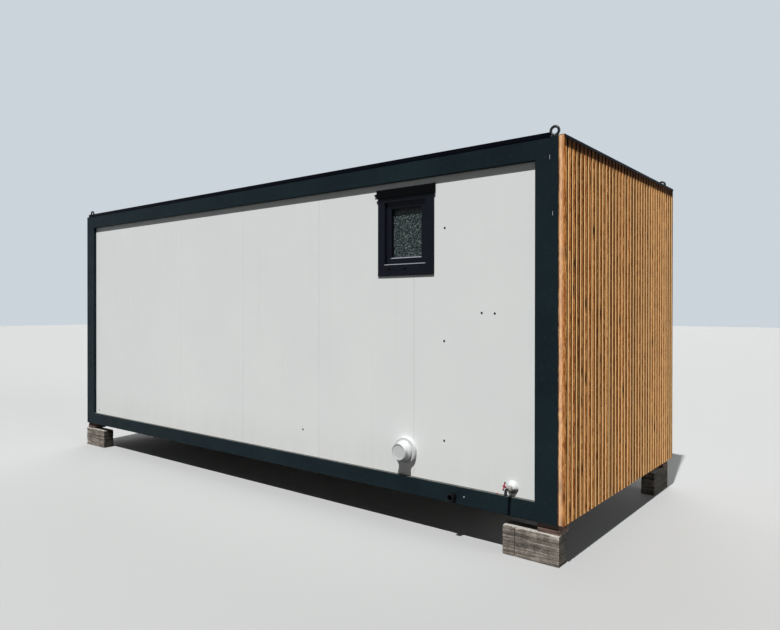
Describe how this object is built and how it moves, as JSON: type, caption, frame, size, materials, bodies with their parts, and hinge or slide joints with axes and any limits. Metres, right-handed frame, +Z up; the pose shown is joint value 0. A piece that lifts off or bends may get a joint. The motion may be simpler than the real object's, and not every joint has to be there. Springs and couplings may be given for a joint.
{
  "type": "modular cabin",
  "caption": "Flat-roofed modular cabin in a dark steel frame, with white panel walls, one clad in upright larch battens, a small window, a waste socket and a tap.",
  "frame": {"origin": "centre of the outline at ground level, under the blocks", "axes": "+Z up, -Y out of the long white wall with the window, +X out of the larch-clad end"},
  "size_m": [6.151, 2.5926, 2.8469],
  "materials": {
    "frame_paint": "satin anthracite paint",
    "joist_steel": "galvanized",
    "floor_board": "film-faced board",
    "ceiling_board": "flat white lining",
    "roof_board": "bare board",
    "roof_membrane": "dull roofing sheet",
    "edge_trim": "near-black paint",
    "lifting_steel": "zinc plated",
    "wall_sheet": "white coated sheet",
    "larch": "oiled larch",
    "window_plastic": "anthracite film",
    "cassette_plastic": "black",
    "window_glass": "pebbled",
    "door_plastic": "anthracite film",
    "door_steel": "satin",
    "white_plastic": "smooth white",
    "tap_metal": "plated brass",
    "tap_red": "red paint",
    "black_plastic": "black",
    "concrete": "rough cast",
    "pack_timber": "dark weathered"
  },
  "bodies": {
    "cabin": {"corner_post_front_left": "frame_paint", "corner_post_front_right": "frame_paint", "corner_post_back_left": "frame_paint", "corner_post_back_right": "frame_paint", "front_bottom_rail": "frame_paint", "back_bottom_rail": "frame_paint", "front_top_rail": "frame_paint", "back_top_rail": "frame_paint", "end_bottom_rails": "frame_paint", "end_top_rails": "frame_paint", "floor_joists": "joist_steel", "floor_deck": "floor_board", "ceiling_panel": "ceiling_board", "roof_board": "roof_board", "roof_membrane": "roof_membrane", "long_roof_edges": "edge_trim", "left_roof_edge": "edge_trim", "right_roof_edge": "edge_trim", "lifting_eyes": "lifting_steel", "front_wall_panel_1": "wall_sheet", "front_wall_panel_2": "wall_sheet", "front_wall_panel_3": "wall_sheet", "front_wall_panel_4": "wall_sheet", "front_wall_panel_5": "wall_sheet", "front_wall_panel_6": "wall_sheet", "back_wall_panels": "wall_sheet", "back_wall_over_door": "wall_sheet", "left_end_wall_panels": "wall_sheet", "right_end_wall_panels": "wall_sheet", "larch_battens": "larch", "batten_rails": "larch", "window_frame": "window_plastic", "window_sash": "window_plastic", "shutter_cassette": "cassette_plastic", "window_glass": "window_glass", "door_frame": "door_plastic", "door_leaf": "door_plastic", "door_handle": "door_steel", "waste_outlet": "white_plastic", "tap_collar": "white_plastic", "tap_valve": "tap_metal", "pipe_stub": "black_plastic", "support_blocks": "concrete", "lower_timber_packs": "pack_timber", "upper_timber_packs": "pack_timber"},
    "tap_handle": {"tap_handle": "tap_red", "tap_handle_grips": "black_plastic"}
  },
  "joints": [
    {"name": "tap_turn", "type": "hinge", "parent": "cabin", "child": "tap_handle", "pos_m": [2.6965, -1.27932, 0.48487], "axis": [0, -0.891, 0.454], "range_deg": [0, 90]}
  ]
}
